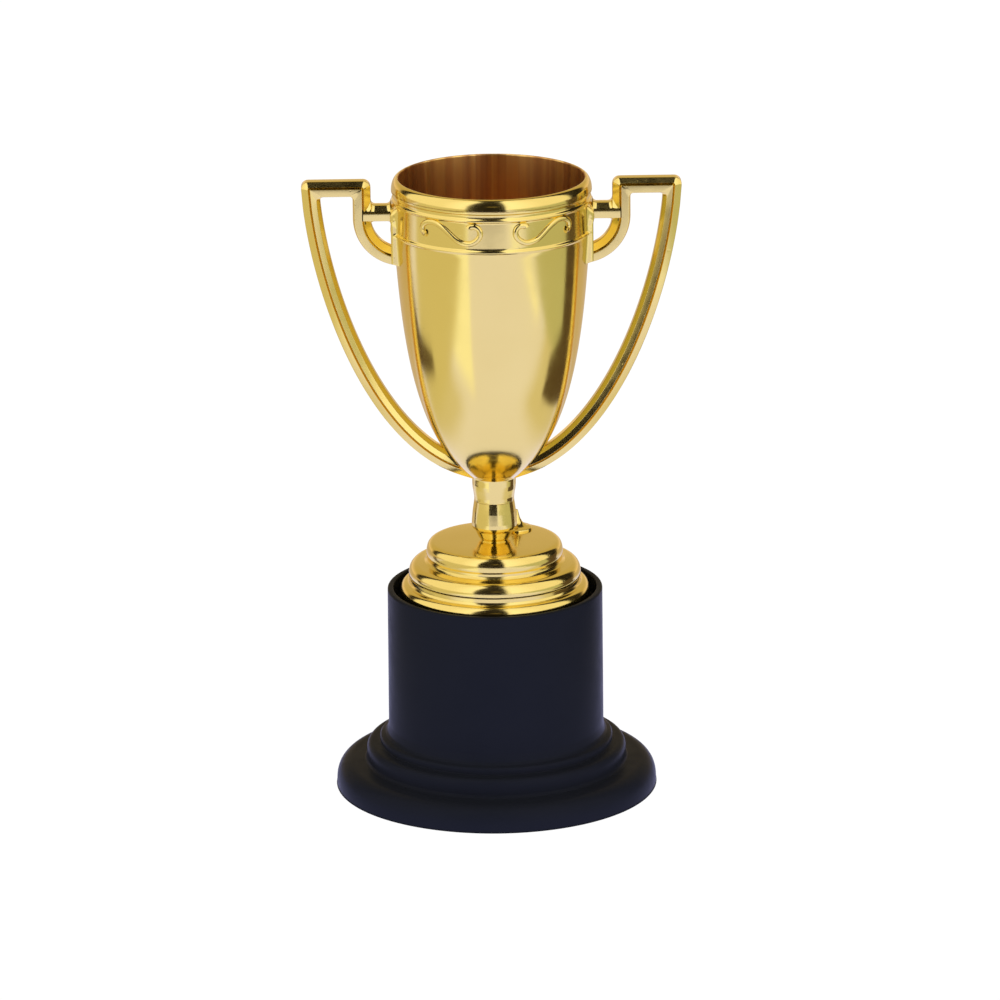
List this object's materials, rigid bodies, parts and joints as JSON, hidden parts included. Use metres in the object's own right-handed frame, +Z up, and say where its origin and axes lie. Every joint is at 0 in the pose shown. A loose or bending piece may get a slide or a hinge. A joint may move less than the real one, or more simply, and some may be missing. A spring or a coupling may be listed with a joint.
{
  "type": "cup trophy",
  "caption": "Presentation cup with angular handles and a scrolled frieze on a stepped round foot, screwed into a black tube-shaped plinth with a flared base.",
  "frame": {"origin": "middle of the plinth's resting face", "axes": "+Z up along the axis of the cup, X through both handles, -Y the front"},
  "size_m": [0.076, 0.0652, 0.127],
  "materials": {
    "gold_plating": "moulded plastic, vacuum-metallised mirror-bright yellow gold with a clear lacquer",
    "black_plastic": "moulded blue-black plastic with a soft satin sheen",
    "zinc_steel": "bright zinc plate"
  },
  "bodies": {
    "root": {"bowl": "gold_plating", "handle_left": "gold_plating", "handle_right": "gold_plating", "stem_collar": "gold_plating", "stem": "gold_plating", "foot": "gold_plating", "plinth": "black_plastic", "tie_screw": "zinc_steel", "head_washer": "zinc_steel", "deck_washer": "zinc_steel", "lock_washer": "zinc_steel", "nut": "zinc_steel"}
  },
  "joints": []
}
